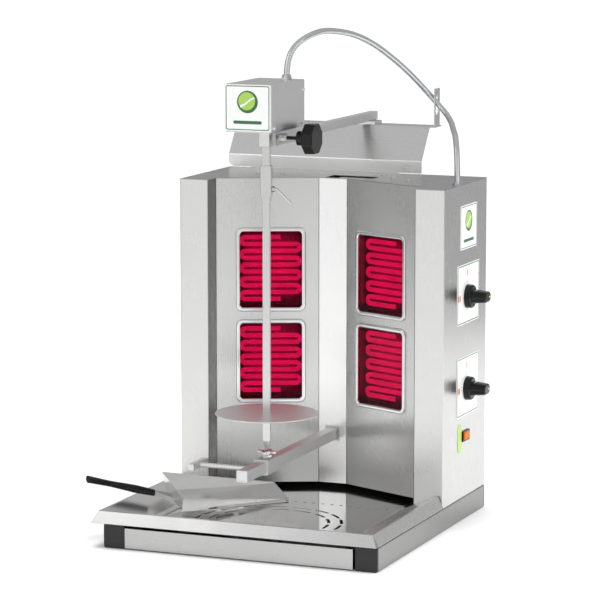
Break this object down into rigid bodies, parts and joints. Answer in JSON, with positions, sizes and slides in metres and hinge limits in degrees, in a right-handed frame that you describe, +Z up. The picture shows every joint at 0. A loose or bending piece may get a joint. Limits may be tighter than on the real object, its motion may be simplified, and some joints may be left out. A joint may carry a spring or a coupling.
{
  "type": "vertical rotisserie broiler",
  "caption": "Electric vertical broiler: stainless cabinet with glass heater windows on two angled walls, top motor and square spit, drip tray, fat drawer, scoop.",
  "frame": {"origin": "centre of the base's footprint, on the surface that it stands on", "axes": "+X to the operator's right, +Y to the back, +Z up"},
  "size_m": [0.5755, 0.6231, 0.8434],
  "materials": {
    "stainless": "brushed stainless steel sheet and bar",
    "bright_steel": "bright polished stainless steel",
    "plated_metal": "plated steel conduit and its gland",
    "black_plastic": "black moulded plastic",
    "black_gloss": "glossy black moulded plastic",
    "white_label": "white printed plate with green outline",
    "green_label": "light green printed label",
    "orange_plastic": "translucent orange rocker",
    "glass": "clear heat-resistant glass",
    "element": "glowing resistance element",
    "grey_paint": "dark grey painted gearmotor"
  },
  "bodies": {
    "cabinet": {"base_rail_left": "stainless", "base_rail_right": "stainless", "base_plate": "stainless", "foot_caps": "black_plastic", "side_panel_left": "stainless", "side_panel_right": "stainless", "rear_panel": "stainless", "top_plate": "stainless", "cabinet_floor": "stainless", "heater_panel_left": "stainless", "heater_panel_right": "stainless", "centre_strip": "stainless", "flue_baffle": "stainless", "window_frame_left_lower": "bright_steel", "window_frame_left_upper": "bright_steel", "window_frame_right_lower": "bright_steel", "window_frame_right_upper": "bright_steel", "window_glass_left": "glass", "window_glass_right": "glass", "heating_element_left_lower": "element", "heating_element_left_upper": "element", "heating_element_right_lower": "element", "heating_element_right_upper": "element", "reflectors_left": "stainless", "reflectors_right": "stainless", "upper_bracket": "stainless", "upper_arm": "stainless", "arm_guide": "stainless", "side_badge": "white_label", "switch_plate_upper": "white_label", "switch_plate_lower": "white_label", "switch_gear": "black_plastic", "rocker_frame": "black_gloss", "power_label": "green_label", "panel_screws": "bright_steel", "cable_glands": "black_plastic", "conduit": "plated_metal"},
    "motor_carriage": {"motor_housing": "stainless", "motor_bracket": "stainless", "motor_badge": "white_label", "gearmotor": "grey_paint", "motor_screws": "bright_steel", "conduit_gland": "plated_metal"},
    "clamp_screw": {"clamp_knob": "black_gloss"},
    "spit": {"drive_shaft": "stainless", "spit_bar": "stainless", "meat_disc": "bright_steel"},
    "sleeve": {"coupling_sleeve": "bright_steel"},
    "lock": {"lock_screw": "stainless"},
    "lower_slider": {"lower_arm": "stainless", "bearing_carrier": "stainless", "bearing_cup": "stainless", "slider_handle": "stainless"},
    "upper_switch": {"knob_upper": "black_gloss"},
    "lower_switch": {"knob_lower": "black_gloss"},
    "rocker": {"rocker_button": "orange_plastic"},
    "tray": {"drip_tray": "bright_steel"},
    "drawer": {"fat_drawer": "stainless"},
    "scoop": {"scoop_pan": "stainless", "scoop_handle": "black_gloss"}
  },
  "joints": [
    {"name": "motor_slide", "type": "slide", "parent": "cabinet", "child": "motor_carriage", "axis": [0, 1, 0], "range_m": [0, 0.03], "deforming": ["conduit"]},
    {"name": "clamp_turn", "type": "hinge", "parent": "motor_carriage", "child": "clamp_screw", "pos_m": [0.04, -0.101, 0.67], "axis": [1, 0, 0], "continuous": true},
    {"name": "spit_turn", "type": "hinge", "parent": "motor_carriage", "child": "spit", "pos_m": [0, -0.145, 0.6], "axis": [0, 0, 1], "continuous": true},
    {"name": "sleeve_lift", "type": "slide", "parent": "spit", "child": "sleeve", "axis": [0, 0, 1], "range_m": [0, 0.03]},
    {"name": "lock_turn", "type": "hinge", "parent": "sleeve", "child": "lock", "pos_m": [0.00865, -0.14252, 0.59], "axis": [0.9613, 0.2756, 0], "range_deg": [-90, 90]},
    {"name": "lower_slide", "type": "slide", "parent": "cabinet", "child": "lower_slider", "axis": [0, 1, 0], "range_m": [0, 0.03]},
    {"name": "upper_switch_turn", "type": "hinge", "parent": "cabinet", "child": "upper_switch", "pos_m": [0.25, 0.162, 0.3855], "axis": [1, 0, 0], "range_deg": [-90, 90]},
    {"name": "lower_switch_turn", "type": "hinge", "parent": "cabinet", "child": "lower_switch", "pos_m": [0.25, 0.162, 0.2273], "axis": [1, 0, 0], "range_deg": [-90, 90]},
    {"name": "rocker_rock", "type": "hinge", "parent": "cabinet", "child": "rocker", "pos_m": [0.239, 0.158, 0.146], "axis": [0, 0, 1], "range_deg": [-9, 0]},
    {"name": "tray_slide", "type": "slide", "parent": "cabinet", "child": "tray", "axis": [0, -1, 0], "range_m": [0, 0.4]},
    {"name": "drawer_slide", "type": "slide", "parent": "cabinet", "child": "drawer", "axis": [0, -1, 0], "range_m": [0, 0.35]},
    {"name": "scoop_lift", "type": "slide", "parent": "tray", "child": "scoop", "axis": [0, 0, 1], "range_m": [0, 0.15]}
  ],
  "couplings": [
    {"joint": "lower_slide", "follows": "motor_slide", "ratio": 1}
  ]
}
